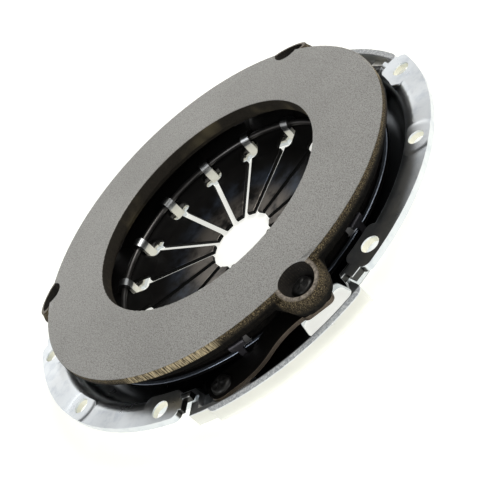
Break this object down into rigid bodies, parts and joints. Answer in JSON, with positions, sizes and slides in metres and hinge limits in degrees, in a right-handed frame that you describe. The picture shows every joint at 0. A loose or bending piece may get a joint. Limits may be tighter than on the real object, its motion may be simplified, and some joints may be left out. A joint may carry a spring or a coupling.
{
  "type": "clutch pressure plate",
  "caption": "Clutch cover assembly: pressed steel cover with three lug bulges, cast ring plate with flat friction face, slotted diaphragm spring on wire pivot rings, and drive straps.",
  "frame": {"origin": "on the clutch axis, in the plane of the cover's back face, at the centre of the opening between the finger tips", "axes": "+Z along the clutch axis from the gearbox side to the flywheel side, +X through one dowel hole of the flange"},
  "size_m": [0.2495, 0.25, 0.034],
  "materials": {
    "zinc_plated_steel": "bright zinc plate",
    "cast_iron": "ground face, dark cast sides",
    "spring_steel": "oiled black",
    "ring_wire": "drawn wire",
    "strap_steel": "dark rolled",
    "clip_steel": "plain",
    "rivet_steel": "black phosphate"
  },
  "bodies": {
    "cover_body": {"cover": "zinc_plated_steel", "diaphragm_spring": "spring_steel", "front_pivot_ring": "ring_wire", "rear_pivot_ring": "ring_wire", "drive_strap_1_leaf_1": "strap_steel", "drive_strap_1_leaf_2": "strap_steel", "drive_strap_1_leaf_3": "strap_steel", "drive_strap_2_leaf_1": "strap_steel", "drive_strap_2_leaf_2": "strap_steel", "drive_strap_2_leaf_3": "strap_steel", "drive_strap_3_leaf_1": "strap_steel", "drive_strap_3_leaf_2": "strap_steel", "drive_strap_3_leaf_3": "strap_steel", "strap_cover_rivet_1": "rivet_steel", "strap_cover_rivet_2": "rivet_steel", "strap_cover_rivet_3": "rivet_steel"},
    "plate_body": {"pressure_plate": "cast_iron", "lug_rivet_1": "rivet_steel", "lug_rivet_2": "rivet_steel", "lug_rivet_3": "rivet_steel", "retraction_clip_1": "clip_steel", "retraction_clip_2": "clip_steel", "retraction_clip_3": "clip_steel", "retraction_clip_4": "clip_steel", "retraction_clip_5": "clip_steel", "retraction_clip_6": "clip_steel", "clip_rivet_1": "rivet_steel", "clip_rivet_2": "rivet_steel", "clip_rivet_3": "rivet_steel", "clip_rivet_4": "rivet_steel", "clip_rivet_5": "rivet_steel", "clip_rivet_6": "rivet_steel"}
  },
  "joints": [
    {"name": "plate_lift", "type": "slide", "parent": "cover_body", "child": "plate_body", "axis": [0, 0, 1], "range_m": [-0.0055, 0], "stiffness_N_per_m": 30000, "springref_m": 0.001, "deforming": ["diaphragm_spring", "drive_strap_1_leaf_1", "drive_strap_1_leaf_2", "drive_strap_1_leaf_3", "drive_strap_2_leaf_1", "drive_strap_2_leaf_2", "drive_strap_2_leaf_3", "drive_strap_3_leaf_1", "drive_strap_3_leaf_2", "drive_strap_3_leaf_3"]}
  ]
}
